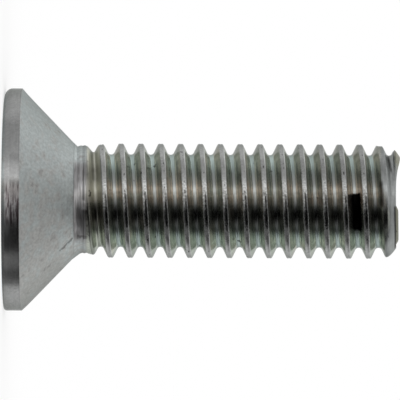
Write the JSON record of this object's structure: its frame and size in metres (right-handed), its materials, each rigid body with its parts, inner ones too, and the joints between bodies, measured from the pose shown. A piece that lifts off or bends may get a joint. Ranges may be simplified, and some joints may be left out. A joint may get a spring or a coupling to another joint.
{
  "type": "brake disc screw",
  "caption": "Zinc-plated countersunk machine screw with a plain rim, a conical seat, a rolled coarse thread and a six-lobe drive recess, which holds a brake disc to its hub.",
  "frame": {"origin": "centre of the head's flat face, on the screw's axis", "axes": "+Z along the screw's axis from the head to the end of the thread, X and Y across it"},
  "size_m": [0.0112, 0.0112, 0.0199],
  "materials": {
    "zinc_plate": "zinc plated steel with a pale blue-green passivation, satin and slightly scuffed"
  },
  "bodies": {
    "root": {"screw": "zinc_plate"}
  },
  "joints": []
}
